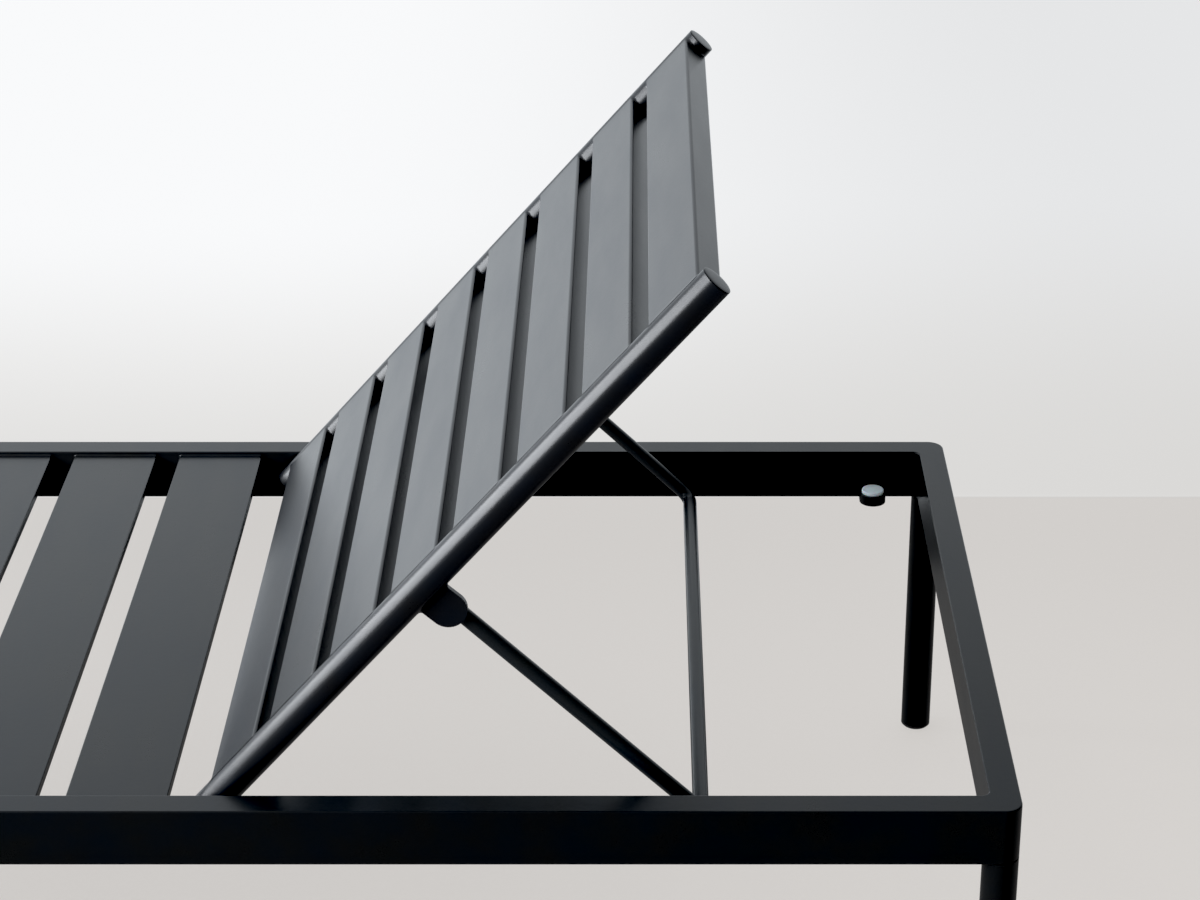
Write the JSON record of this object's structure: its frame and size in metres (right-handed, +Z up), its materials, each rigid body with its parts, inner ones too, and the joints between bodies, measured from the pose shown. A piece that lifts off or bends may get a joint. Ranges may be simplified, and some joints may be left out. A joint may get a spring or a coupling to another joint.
{
  "type": "reclining sun lounger",
  "caption": "Low slatted sun lounger: tube frame on round legs, flat slatted seat and a hinged slatted back held at an angle by a propping bail.",
  "frame": {"origin": "on the ground, under the middle of the lounger's length and width", "axes": "+X to the head end, +Y to the right of a person lying on it, +Z up"},
  "size_m": [2, 0.7, 0.7745],
  "materials": {
    "frame_powder_coat": "fine satin powder coat, charcoal",
    "back_powder_coat": "fine satin powder coat, charcoal",
    "bail_powder_coat": "fine satin powder coat, charcoal",
    "black_plastic": "moulded, matt",
    "pad_rubber": "soft, translucent grey",
    "stainless_steel": "plain stainless"
  },
  "bodies": {
    "frame": {"corner_foot_left": "frame_powder_coat", "corner_foot_right": "frame_powder_coat", "corner_head_left": "frame_powder_coat", "corner_head_right": "frame_powder_coat", "foot_glide_foot_left": "black_plastic", "foot_glide_foot_right": "black_plastic", "foot_glide_head_left": "black_plastic", "foot_glide_head_right": "black_plastic", "foot_rail": "frame_powder_coat", "head_rail": "frame_powder_coat", "hinge_bolt_left": "stainless_steel", "hinge_bolt_right": "stainless_steel", "hinge_inserts": "stainless_steel", "hinge_spacers": "black_plastic", "hinge_washers": "stainless_steel", "leg_foot_left": "frame_powder_coat", "leg_foot_right": "frame_powder_coat", "leg_head_left": "frame_powder_coat", "leg_head_right": "frame_powder_coat", "prop_rack_left": "frame_powder_coat", "prop_rack_right": "frame_powder_coat", "rack_rivets": "frame_powder_coat", "rest_pad_left": "pad_rubber", "rest_pad_right": "pad_rubber", "rest_tab_left": "frame_powder_coat", "rest_tab_right": "frame_powder_coat", "seat_slat_01": "frame_powder_coat", "seat_slat_02": "frame_powder_coat", "seat_slat_03": "frame_powder_coat", "seat_slat_04": "frame_powder_coat", "seat_slat_05": "frame_powder_coat", "seat_slat_06": "frame_powder_coat", "seat_slat_07": "frame_powder_coat", "seat_slat_08": "frame_powder_coat", "seat_slat_09": "frame_powder_coat", "seat_slat_10": "frame_powder_coat", "seat_slat_11": "frame_powder_coat", "seat_slat_12": "frame_powder_coat", "side_rail_left": "frame_powder_coat", "side_rail_right": "frame_powder_coat", "tab_rivets": "frame_powder_coat"},
    "backrest": {"back_slat_1": "back_powder_coat", "back_slat_2": "back_powder_coat", "back_slat_3": "back_powder_coat", "back_slat_4": "back_powder_coat", "back_slat_5": "back_powder_coat", "back_slat_6": "back_powder_coat", "back_slat_7": "back_powder_coat", "back_slat_8": "back_powder_coat", "back_tube_caps": "black_plastic", "back_tube_left": "back_powder_coat", "back_tube_right": "back_powder_coat", "hinge_bushes": "black_plastic", "prop_ear_left": "back_powder_coat", "prop_ear_right": "back_powder_coat", "prop_pin_left": "back_powder_coat", "prop_pin_right": "back_powder_coat"},
    "prop": {"catch_pins": "bail_powder_coat", "prop_bail": "bail_powder_coat"}
  },
  "joints": [
    {"name": "back_hinge", "type": "hinge", "parent": "frame", "child": "backrest", "pos_m": [0.344, 0, 0.309], "axis": [0, -1, 0], "range_deg": [-48.4, 21.6]},
    {"name": "prop_hinge", "type": "hinge", "parent": "backrest", "child": "prop", "pos_m": [0.5387, 0, 0.48462], "axis": [0, -1, 0], "range_deg": [-43, 95]}
  ],
  "couplings": [
    {"joint": "prop_hinge", "follows": "back_hinge", "ratio": -1.935}
  ]
}
